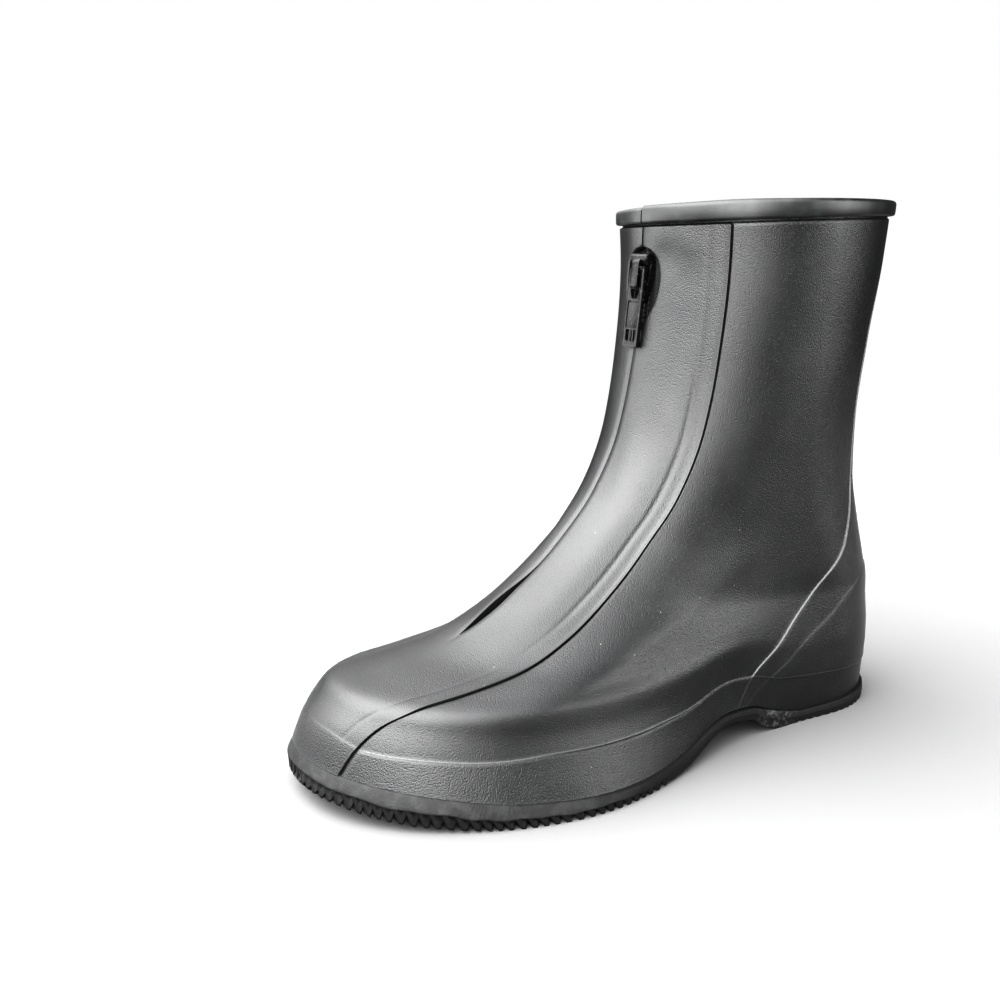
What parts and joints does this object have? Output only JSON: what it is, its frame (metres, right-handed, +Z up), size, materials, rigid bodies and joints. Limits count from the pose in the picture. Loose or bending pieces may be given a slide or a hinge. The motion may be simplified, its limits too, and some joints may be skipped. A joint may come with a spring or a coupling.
{
  "type": "rubber zip overshoe",
  "caption": "Ankle-high black rubber overshoe for the left foot, with a front zip, hinged pull tab, raised front panel, collar band and a toothed moulded sole.",
  "frame": {"origin": "middle of the overshoe's box, on the floor under the sole", "axes": "+Z up, toe towards -Y and heel towards +Y, outer side of the left foot towards +X"},
  "size_m": [0.1368, 0.3148, 0.2571],
  "materials": {
    "rubber_upper": "satin black moulded rubber with a fine pebble grain",
    "rubber_sole": "dull black moulded rubber, dusty at the edges",
    "lining": "dark knitted lining",
    "tape": "black woven zip tape",
    "zip_teeth": "black moulded teeth",
    "zip_metal": "gloss black enamelled casting"
  },
  "bodies": {
    "overshoe": {"upper": "rubber_upper", "outsole": "rubber_sole", "insole": "lining", "zip_tape_left": "tape", "zip_tape_right": "tape", "zip_chain": "zip_teeth", "zip_slider": "zip_metal"},
    "tab": {"pull_tab": "zip_metal"}
  },
  "joints": [
    {"name": "pull_tab_hinge", "type": "hinge", "parent": "overshoe", "child": "tab", "pos_m": [-0.0036, 0.01811, 0.22752], "axis": [-1, 0, 0], "range_deg": [0, 150]}
  ]
}
